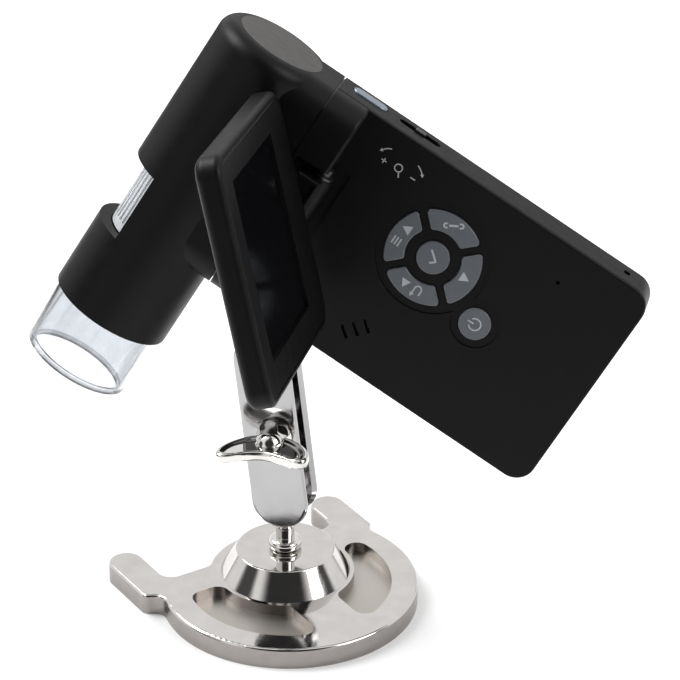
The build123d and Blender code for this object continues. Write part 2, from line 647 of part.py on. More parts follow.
def rear_shell():
    """Deep tray behind the parting line, with openings in its top and end."""
    x0 = SEAM_X + SEAM / 2
    tray = slab(x0, PARTING_Y, SLAB_BACK)
    back = tray.edges().group_by(Axis.Y)[-1].filter_by(lambda e: e.center().X > x0 + 1)
    tray = fillet(back, SLAB_EDGE_R)
    tray -= slab(x0 + WALL, SLAB_FRONT, SLAB_BACK - WALL, WALL)
    pad = TENON_PAD
    tray -= block(x0 - 1, x0 + 2 * WALL, SLAB_FRONT + pad, SLAB_BACK - pad,
                  SLAB_Z0 + 4 * pad, TOP_Z - 4 * pad)
    socket = Pos(SOCKET_X, SLAB_Y, SLAB_Z0 + INSERT_L / 2)
    tray += socket * Cylinder(INSERT_R + WALL, INSERT_L) & slab(x0, PARTING_Y, SLAB_BACK)
    tray -= socket * Cylinder(INSERT_R, INSERT_L)
    shutter = Pos(SHUTTER_X, SHUTTER_Y) * SlotOverall(SHUTTER_L + 2 * KEY_GAP, SHUTTER_W + 2 * KEY_GAP)
    tray -= Pos(0, 0, TOP_Z - 2 * WALL) * extrude(shutter, 4 * WALL)
    recess = Pos(ZOOM_X, ZOOM_Y) * SlotOverall(ZOOM_SLOT_L, ZOOM_SLOT_W)
    tray -= Pos(0, 0, TOP_Z - ZOOM_SLOT_D) * extrude(recess, 2 * WALL)
    groove = Pos(ZOOM_X, ZOOM_Y) * Rectangle(2 * ZOOM_TRAVEL + ZOOM_LEVER_L + 2 * PLAY, 1.6 + 2 * PLAY)
    tray -= Pos(0, 0, TOP_Z - 2 * WALL) * extrude(groove, 2 * WALL)
    tray += lanyard_boss() - lanyard_slot() - lanyard_pin(RUN)
    tray -= lanyard_slot()
    for screw in case_screw_places():
        tray -= rod(CASE_SCREW_R, SLAB_BACK - 1.0, SLAB_BACK + 1, *screw)
    return tray


def lanyard_boss():
    """Solid corner that holds the lanyard pin."""
    corner = slab(SLAB_END - LANYARD_BOSS, LIP_Y + PLAY, SLAB_BACK - WALL)
    return corner & block(SLAB_END - LANYARD_BOSS, SLAB_END, LIP_Y, SLAB_BACK, TOP_Z - LANYARD_BOSS, TOP_Z)


def lanyard_slot():
    """Slanted slot through the far top corner for a wrist cord."""
    c = LANYARD_CORNER
    cut = Pos(SLAB_END - c, LANYARD_Y, TOP_Z - c) * Rot(0, 45, 0) * Box(9 * LANYARD_W, LANYARD_W, LANYARD_W)
    return cut & block(SLAB_END - 2 * c, SLAB_END + c, HUMP_Y, 2 * SLAB_BACK, TOP_Z - 2 * c, TOP_Z + c)


def lanyard_pin(grow=0.0):
    """Steel pin across the slot that the cord is looped round."""
    half = LANYARD_PIN_L / 2 + grow
    return rod(LANYARD_PIN_R + grow, LANYARD_Y - half, LANYARD_Y + half,
               SLAB_END - LANYARD_CORNER, TOP_Z - LANYARD_CORNER)


def case_screw_places():
    """Four (x, z) places near the corners of the back."""
    d = CASE_SCREW_INSET
    return [(x, z) for x in (SEAM_X + d, SLAB_END - d) for z in (SLAB_Z0 + d, TOP_Z - d)]


def case_screws():
    """Small round-headed screws sunk in the back."""
    screws = []
    for x, z in case_screw_places():
        head = rod(CASE_SCREW_R - RUN, SLAB_BACK - 1.0, SLAB_BACK - 0.2, x, z)
        slot = Pos(x, SLAB_BACK - 0.2, z) * (Box(2.6, 0.8, 0.5) + Box(0.5, 0.8, 2.6))
        screws.append(head - slot)
    return screws


def key(outline, flange):
    """Key cap through its hole, with a flange behind the face and its foot on the membrane."""
    top = SLAB_FRONT - KEY_PROUD
    back = SLAB_FRONT + WALL + PLAY / 2
    cap = front_view(outline, top, back)
    cap = fillet(cap.edges().group_by(Axis.Y)[0], 0.3)
    return cap + front_view(flange, back, KEY_BACK)


def membrane():
    """Rubber sheet under the keys."""
    return block(PAD_X - PAD_DISH_R, POWER_X + POWER_DISH_R, MEMBRANE_Y, MEMBRANE_Y + MEMBRANE_T,
                 PAD_Z - PAD_DISH_R, PAD_Z + PAD_DISH_R)


def main_board():
    """Circuit board behind the membrane, as long as the tray."""
    y0 = MEMBRANE_Y + MEMBRANE_T
    board = block(BOARD_X0, SLAB_END - 2 * WALL - PLAY, y0, y0 + MAIN_BOARD_T, BOARD_Z0, BOARD_Z1)
    return board - rod(SPEAKER_R + PLAY, y0, y0 + MAIN_BOARD_T, SPEAKER_X, SPEAKER_Z)


def battery():
    """Flat cell behind the board."""
    x0 = SOCKET_X + INSERT_R + WALL + BATTERY_GAP
    y1 = SLAB_BACK - WALL
    return fillet(block(x0, x0 + BATTERY_L, y1 - BATTERY_T, y1, SLAB_Z - BATTERY_H / 2,
                        SLAB_Z + BATTERY_H / 2).edges().filter_by(Axis.Y), 2.0)


def speaker():
    """Small round loudspeaker behind its slots."""
    y0 = SLAB_FRONT + WALL
    can = rod(SPEAKER_R, y0, y0 + SPEAKER_T * 0.5, SPEAKER_X, SPEAKER_Z)
    return can + rod(SPEAKER_R * 0.6, y0 + SPEAKER_T * 0.5, y0 + SPEAKER_T, SPEAKER_X, SPEAKER_Z)


def microphone():
    y0 = SLAB_FRONT + WALL
    return rod(2.0, y0, y0 + 1.5, MIC_X, MIC_Z)


def shutter_button():
    """Oval silver button on the top edge, with a flange inside."""
    z0 = TOP_Z - WALL - PLAY
    oval = Pos(SHUTTER_X, SHUTTER_Y) * SlotOverall(SHUTTER_L, SHUTTER_W)
    cap = Pos(0, 0, z0) * extrude(oval, WALL + SHUTTER_PROUD + PLAY)
    cap = fillet(cap.edges().group_by(Axis.Z)[-1], SHUTTER_PROUD * 0.8)
    flange = extrude(Pos(SHUTTER_X, SHUTTER_Y) * SlotOverall(SHUTTER_L + 2, SHUTTER_W + 2), 0.8)
    return cap + Pos(0, 0, z0 - 0.8) * flange


def zoom_lever():
    """Small ridged slider in the slot on the top edge."""
    z0 = TOP_Z - ZOOM_SLOT_D + RUN
    width = ZOOM_SLOT_W - 2 * PLAY
    lever = Pos(ZOOM_X, ZOOM_Y, z0 + ZOOM_LEVER_H / 2) * Box(ZOOM_LEVER_L, width, ZOOM_LEVER_H)
    lever = fillet(lever.edges().group_by(Axis.Z)[-1], 0.4)
    stem = Pos(ZOOM_X, ZOOM_Y, z0 - WALL / 2) * Box(ZOOM_LEVER_L - 1, 1.6 - RUN, WALL)
    foot = Pos(ZOOM_X, ZOOM_Y, TOP_Z - WALL - PLAY - 0.4) * Box(ZOOM_LEVER_L + 2, ZOOM_SLOT_W, 0.8)
    return lever + stem + foot


def tripod_insert():
    """Threaded brass insert for the stud, in its boss in the lower edge."""
    insert = Pos(SOCKET_X, SLAB_Y, SLAB_Z0 + INSERT_L / 2)
    return insert * Cylinder(INSERT_R, INSERT_L) - insert * Cylinder(THREAD_R, INSERT_L)


# ---------------------------------------------------------------- display
def knuckle():
    """Barrel on the hinge pins, with a square nose to one side of it that holds the shaft."""
    barrel = Cylinder(KNUCKLE_R, KNUCKLE_W)
    y0 = -AXIS_OFFSET - KNUCKLE_T / 2
    y1 = y0 + KNUCKLE_T
    half = KNUCKLE_W / 2
    nose = block(0, KNUCKLE_REACH, y0, y1, -half, half)
    nose = fillet(nose.edges().group_by(Axis.X)[-1], 0.5)
    body = barrel + nose
    body -= block(KNUCKLE_REACH - KNUCKLE_POCKET, KNUCKLE_REACH + 1, y0 + KNUCKLE_RIM, y1 - KNUCKLE_RIM,
                  -half + KNUCKLE_RIM, half - KNUCKLE_RIM)
    grip = PIN_GRIP + PLAY
    for side in (-1, 1):
        body -= Pos(0, 0, side * (half - grip / 2)) * Cylinder(PIN_R + RUN, grip)
    return body - Pos(0, -AXIS_OFFSET, 0) * along(SHAFT_R + RUN, -SHAFT_GRIP - RUN, KNUCKLE_REACH)


def hinge_pins():
    """Two steel pins with a collar and a shoulder, one either side of the knuckle."""
    z0 = KNUCKLE_W / 2
    z1 = RECESS_W / 2 - RUN
    collar = z0 + PLAY / 2
    pin = turned((0, z0 - PIN_GRIP), (PIN_R, z0 - PIN_GRIP), (PIN_R, collar), (PIN_COLLAR_R, collar),
                 (PIN_COLLAR_R, collar + PIN_COLLAR_T), (PIN_SHOULDER_R, collar + PIN_COLLAR_T),
                 (PIN_SHOULDER_R, z1), (PIN_R, z1), (PIN_R, z1 + PIN_L - PLAY), (0, z1 + PIN_L - PLAY))
    at = Pos(HINGE_X, HINGE_Y, HINGE_Z)
    return [at * pin, at * Rot(180, 0, 0) * pin]


def along(radius, x0, x1):
    """Round bar along X."""
    return Pos((x0 + x1) / 2, 0, 0) * Rot(0, 90, 0) * Cylinder(radius, x1 - x0)


def swivel_shaft():
    """Steel shaft from the knuckle into the display, with a flange in the knuckle's pocket."""
    flange = KNUCKLE_REACH - KNUCKLE_POCKET + PLAY / 2
    shaft = along(SHAFT_R, -SHAFT_GRIP, PANEL_D0 + PANEL_WALL + SHAFT_BOSS_L)
    return shaft + along(SHAFT_FLANGE_R, flange, flange + SHAFT_FLANGE_T)


def panel_block(y0, y1, inset=0.0):
    """Display panel between two depths, with larger corners by the hinge."""
    shape = Rectangle(PANEL_L - 2 * inset, PANEL_W - 2 * inset)
    shape = fillet(shape.vertices().group_by(Axis.X)[0], PANEL_NEAR_R - inset)
    shape = fillet(shape.vertices().group_by(Axis.X)[-1], PANEL_FAR_R - inset)
    return front_view(Pos(PANEL_D0 + PANEL_L / 2, 0) * shape, y0, y1)


def glass_block(y0, y1, grow=0.0):
    shape = Pos(GLASS_D0 + GLASS_L / 2, GLASS_SHIFT) * Rectangle(GLASS_L + 2 * grow, GLASS_W + 2 * grow)
    return front_view(shape, y0, y1)


def shaft_hole():
    return along(SHAFT_R + RUN, PANEL_D0, PANEL_D0 + PANEL_WALL + SHAFT_BOSS_L)


def display_back():
    """Tray behind the display, whose rim comes up round the bezel."""
    y0 = -PANEL_T / 2
    y1 = PANEL_T / 2
    tray = panel_block(y0, y1)
    tray = fillet(tray.edges().group_by(Axis.Y)[0], PANEL_EDGE_R)
    tray = fillet(tray.edges().group_by(Axis.Y)[-1], RIM_EDGE_R)
    tray -= panel_block(y0 + PANEL_WALL, y1 - BEZEL_T, PANEL_WALL + RIM_W / 2)
    tray -= panel_block(y1 - BEZEL_T, y1, RIM_W)
    boss = block(PANEL_D0 + RIM_W, PANEL_D0 + PANEL_WALL + SHAFT_BOSS_L, y0 + PANEL_WALL, y1 - BEZEL_T,
                 -SHAFT_BOSS_W / 2, SHAFT_BOSS_W / 2)
    return tray + boss - shaft_hole()


def display_bezel():
    """Frame round the glass, let into the back's rim."""
    y0 = PANEL_T / 2 - BEZEL_T
    y1 = PANEL_T / 2
    frame = panel_block(y0, y1, RIM_W + RUN)
    frame = chamfer(frame.edges().group_by(Axis.Y)[-1], 0.25)
    frame -= glass_block(y0, y1)
    frame -= glass_block(y0, y1 - GLASS_RECESS, GLASS_LAND)
    return frame - shaft_hole()


def display_glass():
    y1 = PANEL_T / 2 - GLASS_RECESS
    return glass_block(y1 - GLASS_T, y1, GLASS_LAND - RUN)


def display_module():
    y1 = PANEL_T / 2 - GLASS_RECESS - GLASS_T
    return glass_block(y1 - MODULE_T, y1, GLASS_LAND - 2 * RUN)


# ---------------------------------------------------------------- nodes
save("base_plate", BASE, base_plate())
save("stand_screw", Pos(), stand_screw())
save("lower_ball_stud", Pos(), lower_stud())
save("arm_front_plate", ARM, arm_plate(-1))
save("arm_rear_plate", ARM, arm_plate(1))
save("clamp_screw", ARM, clamp_screw())
save("clamp_washer", ARM, clamp_washer())
save("wing_nut", ARM, wing_nut())
save("upper_ball_stud", STUD, upper_stud())
save("stud_lock_nut", STUD, lock_nut())

save("barrel_housing", HEAD, barrel_housing())
save("clear_tip", HEAD, clear_tip())
save("lamp_board", HEAD, ring_board())
save("lamps", HEAD, *lamps())
save("focus_drum", HEAD, focus_drum())
save("lens_carriage", HEAD, lens_carriage())
save("front_lens", HEAD, lens())
save("sensor_board", HEAD, sensor_board())
save("image_sensor", HEAD, image_sensor())

save("front_shell", HEAD, front_shell())
save("rear_shell", HEAD, rear_shell())
save("case_screws", HEAD, *case_screws())
save("lanyard_pin", HEAD, lanyard_pin())
save("tripod_insert", HEAD, tripod_insert())
save("keypad_membrane", HEAD, membrane())
for name, angle in (("right_key", 0), ("up_key", 90), ("left_key", 180), ("down_key", 270)):
    flange = arc_key_outline(angle, KEY_FLANGE)
    save(name, HEAD, key(arc_key_outline(angle), flange))
for name, x, z, radius in (("ok_key", PAD_X, PAD_Z, OK_R), ("power_key", POWER_X, POWER_Z, POWER_R)):
    flange = round_key_outline(x, z, radius + KEY_FLANGE)
    save(name, HEAD, key(round_key_outline(x, z, radius), flange))
save("main_board", HEAD, main_board())
save("battery", HEAD, battery())
save("speaker", HEAD, speaker())
save("microphone", HEAD, microphone())
save("shutter_button", HEAD, shutter_button())
save("zoom_lever", HEAD, zoom_lever())

save("hinge_knuckle", HINGE, knuckle())
save("hinge_pins", HEAD, *hinge_pins())
save("swivel_shaft", PANEL, swivel_shaft())
save("display_back", PANEL, display_back())
save("display_bezel", PANEL, display_bezel())
save("display_glass", PANEL, display_glass())
save("display_module", PANEL, display_module())
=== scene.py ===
"""Looks of a hand-held display microscope on its ball-clamp stand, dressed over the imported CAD.

Every length in the tables below is in millimetres; the meshes are in metres. The head's own frame
has X along the handset away from the barrel, -Y out of the control face and Z along the barrel.
"""

import math

import bmesh
import bpy
import numpy as np
from mathutils import Matrix, Vector


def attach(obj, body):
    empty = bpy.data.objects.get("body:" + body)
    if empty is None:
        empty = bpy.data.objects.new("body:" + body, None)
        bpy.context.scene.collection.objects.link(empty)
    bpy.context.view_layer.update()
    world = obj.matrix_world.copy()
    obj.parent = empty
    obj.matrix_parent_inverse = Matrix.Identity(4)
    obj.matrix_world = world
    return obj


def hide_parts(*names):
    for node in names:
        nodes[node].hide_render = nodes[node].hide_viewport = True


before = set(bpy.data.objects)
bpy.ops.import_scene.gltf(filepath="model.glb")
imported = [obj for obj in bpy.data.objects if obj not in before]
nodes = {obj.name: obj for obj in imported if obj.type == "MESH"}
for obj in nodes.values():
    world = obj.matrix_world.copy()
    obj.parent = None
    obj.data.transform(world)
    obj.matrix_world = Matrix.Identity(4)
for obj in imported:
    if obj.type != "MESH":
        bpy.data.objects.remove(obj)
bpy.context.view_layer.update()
MM = 0.001


# ---------------------------------------------------------------- frames of the stand and head, and places on the control face
def shift(x, y, z):
    return Matrix.Translation((x * MM, y * MM, z * MM))


def turn(axis, degrees):
    return Matrix.Rotation(math.radians(degrees), 4, axis)


ARM = shift(0, 0, 31.6) @ turn("Z", -15.4) @ turn("Y", -6.4)
STUD_AT = ARM @ shift(0, 0, 45.1)
STUD = Matrix.Translation(STUD_AT.translation) @ turn("Z", -16.7) @ turn("Y", 29.9) @ turn("X", -12.3)
HEAD = STUD @ shift(-43.8, -1.8, 12.5 - 45.3)

FACE_Y = -5.8  # control face
KEY_TOP_Y = -6.15
PAD = 67.0, 86.5
POWER = 86.8, 77.3


# ---------------------------------------------------------------- materials
def linear(code):
    """sRGB hex colour to a linear one: each channel c becomes ((c + 0.055) / 1.055) to the power 2.4."""
    c = np.array([int(code[i:i + 2], 16) for i in (1, 3, 5)]) / 255
    c = np.where(c <= 0.04045, c / 12.92, ((c + 0.055) / 1.055) ** 2.4)
    return (*[float(v) for v in c], 1.0)


def add(tree, kind, values=None, **settings):
    """One node with its settings; values name its inputs, as numbers, colours or other nodes' outputs."""
    n = tree.nodes.new(kind)
    for key, value in settings.items():
        setattr(n, key, value)
    for key, value in (values or {}).items():
        if isinstance(value, bpy.types.NodeSocket):
            tree.links.new(value, n.inputs[key])
        else:
            n.inputs[key].default_value = value
    return n


def finish(name, light, dark, rough=(0.3, 0.4), blotch=6.0, grain=0.0, depth=0.0, wave=0.0, wave_depth=0.0,
           **shader):
    """A Principled material whose colour and roughness wander in blotches, over a fine bump.

    light and dark are the ends of the colour's wander, rough those of the roughness, blotch the size of
    a blotch in mm. grain is the size in mm of the fine bump and depth its height in mm; wave and
    wave_depth are those of a slow unevenness. The other words set the shader's own sockets.
    """
    m = bpy.data.materials.new(name)
    m.use_nodes = True
    t = m.node_tree
    t.nodes.clear()
    where = add(t, "ShaderNodeTexCoord").outputs["Object"]
    cloud = add(t, "ShaderNodeTexNoise", {"Vector": where, "Scale": 1 / (blotch * MM), "Detail": 4.0})
    colour = add(t, "ShaderNodeMix", {0: cloud.outputs["Fac"], 6: linear(dark), 7: linear(light)},
                 data_type="RGBA")
    speck = add(t, "ShaderNodeTexNoise", {"Vector": where, "Scale": 2.7 / (blotch * MM), "Detail": 6.0})
    roughness = add(t, "ShaderNodeMapRange", {"Value": speck.outputs["Fac"], "From Min": 0.3,
                                              "From Max": 0.7, "To Min": rough[0], "To Max": rough[1]})
    p = add(t, "ShaderNodeBsdfPrincipled", {"Base Color": colour.outputs[2],
                                            "Roughness": roughness.outputs["Result"], **shader})
    normal = None
    for size, height in ((wave, wave_depth), (grain, depth)):
        if height:
            bump = add(t, "ShaderNodeTexNoise", {"Vector": where, "Scale": 1 / (size * MM), "Detail": 2.0})
            values = {"Height": bump.outputs["Fac"], "Distance": height * MM, "Strength": 1.0}
            if normal:
                values["Normal"] = normal
            normal = add(t, "ShaderNodeBump", values).outputs["Normal"]
    if normal:
        t.links.new(normal, p.inputs["Normal"])
    add(t, "ShaderNodeOutputMaterial", {"Surface": p.outputs["BSDF"]})
    return m


# soft-touch coated ABS: moulded and sprayed with a rubbery lacquer, so its gloss is wide and dim
soft_touch = finish("soft_touch_abs", "#0b0b0c", "#070708", (0.38, 0.45), 9.0, 0.16, 0.006, **{"IOR": 1.26})
# the same ABS bare, polished in the mould: crisper gloss in slots and on small parts
gloss_abs = finish("polished_abs", "#141416", "#0e0e10", (0.22, 0.3), 5.0, **{"IOR": 1.54})
# tinted polycarbonate, satin topped: a grey that lets a little light in at its edges
smoke_keys = finish("tinted_polycarbonate", "#5d6166", "#50545a", (0.3, 0.38), 4.0, 0.12, 0.003,
                    **{"IOR": 1.58, "Subsurface Weight": 0.1, "Subsurface Radius": (0.001, 0.001, 0.001),
                       "Subsurface Scale": 0.5})
# cast acrylic, polished: clear, with bright edges
acrylic = finish("clear_acrylic", "#e4e6e9", "#d3d6da", (0.01, 0.04), 1.2,
                 **{"IOR": 1.49, "Transmission Weight": 1.0})
# frosted clear ABS of the finger wheel: pale, with a bluish body
frosted = finish("frosted_clear_abs", "#f8f9fb", "#e6eaef", (0.16, 0.26), 3.0,
                 **{"IOR": 1.54, "Transmission Weight": 0.45})
# zinc casting, polished and nickel-chromium plated: a mirror with the casting's slow waves in it
plating = {"Metallic": 1.0}
cast_chrome = finish("plated_zinc_casting", "#d9d6d3", "#c2bfbd", (0.05, 0.11), 7.0, 0.5, 0.0012,
                     9.0, 0.012, **plating)
chrome = finish("polished_chromium", "#e2e0dd", "#cfccc9", (0.03, 0.06), 5.0, wave=4.0, wave_depth=0.004,
                **plating)
plate_steel = finish("plated_steel_strip", "#b6b5b6", "#a7a6a6", (0.09, 0.15), 8.0, 0.4, 0.0008,
                     6.0, 0.006, **plating)
# warm nickel of the turned studs and nuts
nickel = finish("turned_nickel", "#cfc6bb", "#bdb4aa", (0.05, 0.1), 4.0, wave=3.0, wave_depth=0.003, **plating)
# blackened steel of the pins
black_oxide = finish("black_oxide_steel", "#1b1b1d", "#121214", (0.25, 0.35), 1.0, 0.1, 0.002,
                     **{"IOR": 1.6})
# turned steel, bright and a little brushed
steel = finish("turned_steel", "#b9b9b8", "#a0a09f", (0.22, 0.34), 2.0, 0.1, 0.002, **plating)
brass = finish("turned_brass", "#d8b25e", "#b8923f", (0.22, 0.32), 2.0, 0.1, 0.002, **plating)
# coated lens glass and the front glass of the display, both ground and polished
lens_glass = finish("coated_lens_glass", "#dfeaf5", "#d2dfef", (0.0, 0.02), 5.0,
                    **{"IOR": 1.52, "Transmission Weight": 1.0})
screen_glass = finish("printed_screen_glass", "#08080a", "#050507", (0.1, 0.14), 14.0, **{"IOR": 1.3})
# lacquered glass-epoxy board, epoxy lamps and silicon
board = finish("glass_epoxy_board", "#1d5a35", "#154527", (0.3, 0.42), 1.5, 0.3, 0.01, **{"IOR": 1.55})
lamp_epoxy = finish("lamp_epoxy", "#fff8dc", "#f1e6b8", (0.08, 0.14), 1.0, **{"IOR": 1.54,
                    "Transmission Weight": 0.35})
silicon = finish("coated_silicon", "#23242c", "#15161c", (0.12, 0.2), 1.0, **{"IOR": 1.6})
# silver-lacquered ABS of the oval button
silver_abs = finish("silver_lacquered_abs", "#8f99a3", "#7f8993", (0.26, 0.34), 2.0, 0.12, 0.004,
                    **{"Metallic": 0.55, "IOR": 1.5})
rubber = finish("moulded_silicone", "#55565a", "#45464a", (0.6, 0.7), 3.0, 0.2, 0.01, **{"IOR": 1.41})
cell_foil = finish("cell_foil", "#b9babd", "#9fa1a4", (0.3, 0.45), 4.0, 0.6, 0.02, **plating)
# screen-printed ink, thin and matt
ink = finish("screen_print_ink", "#b4b7ba", "#a3a6a9", (0.5, 0.6), 1.0, 0.08, 0.002, **{"IOR": 1.5})


def axis_of(tree, kind, axis):
    """One component of a texture coordinate: 0, 1, 2 for x, y, z."""
    where = add(tree, "ShaderNodeTexCoord").outputs[kind]
    return add(tree, "ShaderNodeSeparateXYZ", {0: where}).outputs[axis]


def ramp(tree, value, low, high):
    """0 below low, 1 above high, smooth between; swapped ends turn it round."""
    return add(tree, "ShaderNodeMapRange", {"Value": value, "From Min": low, "From Max": high},
               interpolation_type="SMOOTHSTEP").outputs["Result"]


def zone(m, mask, light, dark, rough, blotch=0.5):
    """Where mask is 1 the material takes two mingled colours and a roughness of its own."""
    t = m.node_tree
    p = next(n for n in t.nodes if n.type == "BSDF_PRINCIPLED")
    where = add(t, "ShaderNodeTexCoord").outputs["Object"]
    cloud = add(t, "ShaderNodeTexNoise", {"Vector": where, "Scale": 1 / (blotch * MM), "Detail": 3.0})
    own = add(t, "ShaderNodeMix", {0: cloud.outputs["Fac"], 6: linear(dark), 7: linear(light)},
              data_type="RGBA")
    was = {key: p.inputs[key].links[0].from_socket for key in ("Base Color", "Roughness")}
    colour = add(t, "ShaderNodeMix", {0: mask, 6: was["Base Color"], 7: own.outputs[2]}, data_type="RGBA")
    gloss = add(t, "ShaderNodeMix", {0: mask, 2: was["Roughness"], 3: rough})
    t.links.new(colour.outputs[2], p.inputs["Base Color"])
    t.links.new(gloss.outputs[0], p.inputs["Roughness"])


# the casting's sides are plated over a rougher skin and painted darker wherever they stand steep, a painted
# shade; its pockets are shot-blasted
tree = cast_chrome.node_tree
upright = add(tree, "ShaderNodeMath", {0: axis_of(tree, "Normal", 2)}, operation="ABSOLUTE").outputs[0]
zone(cast_chrome, ramp(tree, upright, 0.45, 0.2), "#a19c99", "#8f8b88", 0.24, 3.0)
floor_up = ramp(tree, axis_of(tree, "Normal", 2), 0.8, 0.95)
deep = ramp(tree, axis_of(tree, "Object", 2), 3.4 * MM, 2.9 * MM)
pocket = add(tree, "ShaderNodeMath", {0: floor_up, 1: deep}, operation="MULTIPLY").outputs[0]
zone(cast_chrome, pocket, "#cfcac3", "#aeaaa4", 0.4, 0.35)
# the clear tip is painted darker where it is seen edge on, a painted reflection of the dimmer studio, and
# darker round its lip, a painted shade line
tree = acrylic.node_tree
edge_on = add(tree, "ShaderNodeLayerWeight", {"Blend": 0.5}).outputs["Facing"]
zone(acrylic, ramp(tree, edge_on, 0.6, 0.98), "#a9abae", "#94969a", 0.02, 1.0)
# painted shade: a darker band round the lip of the tip
place = add(tree, "ShaderNodeMapping", {"Vector": add(tree, "ShaderNodeTexCoord").outputs["Object"],
                                        "Location": HEAD.translation, "Rotation": HEAD.to_euler()},
            vector_type="TEXTURE")
height = add(tree, "ShaderNodeSeparateXYZ", {0: place.outputs[0]}).outputs[2]
zone(acrylic, ramp(tree, height, 1.4 * MM, 0.5 * MM), "#a0a2a5", "#8b8d90", 0.05, 1.0)

dress = {
    soft_touch: "barrel_housing front_shell rear_shell display_back display_bezel hinge_knuckle",
    gloss_abs: "zoom_lever lens_carriage speaker microphone",
    smoke_keys: "right_key up_key left_key down_key ok_key power_key",
    acrylic: "clear_tip",
    frosted: "focus_drum",
    cast_chrome: "base_plate",
    chrome: "lower_ball_stud clamp_screw clamp_washer wing_nut",
    nickel: "upper_ball_stud stud_lock_nut",
    black_oxide: "hinge_pins",
    plate_steel: "arm_front_plate arm_rear_plate",
    steel: "stand_screw case_screws lanyard_pin swivel_shaft",
    brass: "tripod_insert",
    lens_glass: "front_lens",
    screen_glass: "display_glass",
    board: "lamp_board sensor_board main_board",
    lamp_epoxy: "lamps",
    silicon: "image_sensor display_module",
    silver_abs: "shutter_button",
    rubber: "keypad_membrane",
    cell_foil: "battery",
}
for material, names in dress.items():
    for name in names.split():
        mesh = nodes[name].data
        if not mesh.materials:
            mesh.materials.append(material)
        for i in range(len(mesh.materials)):
            mesh.materials[i] = material


# ---------------------------------------------------------------- printed marks
def band(path, width):
    """Flat stroke along a path in the plane.

    Each point of the path gives two rim points, half the width to either side along the normal of the
    path's direction there. Returns the two rims as an array (2, n, 2).
    """
    path = np.asarray(path, float)
    way = np.gradient(path, axis=0)
    way /= np.linalg.norm(way, axis=1)[:, None]
    side = np.stack([-way[:, 1], way[:, 0]], axis=1)
    half = np.broadcast_to(np.asarray(width, float) / 2, (len(path),))[:, None]
    return np.stack([path - side * half, path + side * half])


def arc(x, y, radius, start, end, n=28):
    """Points of a circle's arc between two angles in degrees."""
    a = np.radians(np.linspace(start, end, n))
    return np.stack([x + radius * np.cos(a), y + radius * np.sin(a)], axis=1)


def line(*points, n=6):
    """Points along straight runs, n to each run."""
    runs = [np.linspace(a, b, n)[:-1] for a, b in zip(points, points[1:])]
    return np.concatenate(runs + [np.array([points[-1]], float)])


def arrowhead(x, y, angle, size):
    """Solid triangle whose tip is at (x, y): a band whose width falls evenly to nothing at the tip."""
    a = math.radians(angle)
    back = (x - size * math.cos(a), y - size * math.sin(a))
    return band(np.linspace(back, (x, y), 5), np.linspace(size * 1.15, 0.02, 5))


def marks(name, bands, centre, y, body, thick=0.03):
    """One mesh of printed bands on the control face or a key.

    A mark's own right is the head's +Z and its up is the head's -X, because the marks are read with the
    display at the left. Each band is a strip of quads lifted by thick, with its rim closed to below.
    """
    verts, faces = [], []
    for rims in bands:
        n = rims.shape[1]
        flat = np.concatenate([rims[0], rims[1]])
        base = len(verts) and sum(len(v) for v in verts)
        top = np.stack([centre[0] - flat[:, 1], np.full(2 * n, y - thick), centre[1] + flat[:, 0]], axis=1)
        low = top + [0, 2 * thick, 0]
        verts.append(np.concatenate([top, low]))
        i = np.arange(n - 1)
        a, b, c, d = i, i + 1, n + i + 1, n + i
        lower = 2 * n
        quads = [np.stack([a, d, c, b], axis=1), np.stack([a, b, b + lower, a + lower], axis=1),
                 np.stack([d, d + lower, c + lower, c], axis=1)]
        faces.append(base + np.concatenate(quads))
    points = np.concatenate(verts) * MM
    world = np.array(HEAD)
    points = points @ world[:3, :3].T + world[:3, 3]
    mesh = bpy.data.meshes.new(name)
    mesh.from_pydata(points.tolist(), [], np.concatenate(faces).tolist())
    mesh.materials.append(ink)
    piece = bpy.data.objects.new(name, mesh)
    bpy.context.scene.collection.objects.link(piece)
    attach(piece, body)
    return piece


STROKE = 0.42  # line width of the key marks
THIN = 0.3  # and of the marks round the zoom lever
ARC_R = 10.9  # middle of the arc keys from the pad's centre
# double-ended spanner on the upper key
marks("mark_spanner", [band([(-0.67, 1.12), (0.68, -1.12)], 0.62),
                       band(arc(1.08, -1.8, 0.62, 170, 430), 0.5),
                       band(arc(-1.08, 1.8, 0.62, -10, 250), 0.5)],
      (66.8, 97.6), KEY_TOP_Y, "up_key")
marks("mark_right", [arrowhead(0.25, -0.9, -90, 2.6)], (PAD[0] + ARC_R, PAD[1]), KEY_TOP_Y, "right_key")
marks("mark_menu_left", [arrowhead(2.9, 0.9, 90, 2.6), band(line((-2.9, 1.0), (-0.4, 1.0)), STROKE),
                         band(line((-2.9, 0.06), (-0.4, 0.06)), STROKE),
                         band(line((-2.9, -0.9), (-0.4, -0.9)), STROKE)],
      (PAD[0] - ARC_R, PAD[1]), KEY_TOP_Y, "left_key")
marks("mark_return", [arrowhead(-0.9, 2.54, 180, 2.4), band(arc(0.9, -1.55, 1.0, -90, 90), STROKE),
                      band(line((0.9, -0.55), (-0.9, -0.55)), STROKE), arrowhead(-1.9, -0.55, 180, 1.2),
                      band(line((0.9, -2.55), (-0.6, -2.55)), STROKE)],
      (PAD[0], PAD[1] - ARC_R), KEY_TOP_Y, "down_key")
marks("mark_tick", [band(line((-1.7, 0.1), (-0.5, -1.3), (1.9, 1.5)), 0.55)], PAD, KEY_TOP_Y, "ok_key")
marks("mark_power", [band(arc(0, -0.1, 1.7, 125, 415), STROKE), band(line((0, 0.3), (0, 2.2)), STROKE)],
      POWER, KEY_TOP_Y, "power_key")
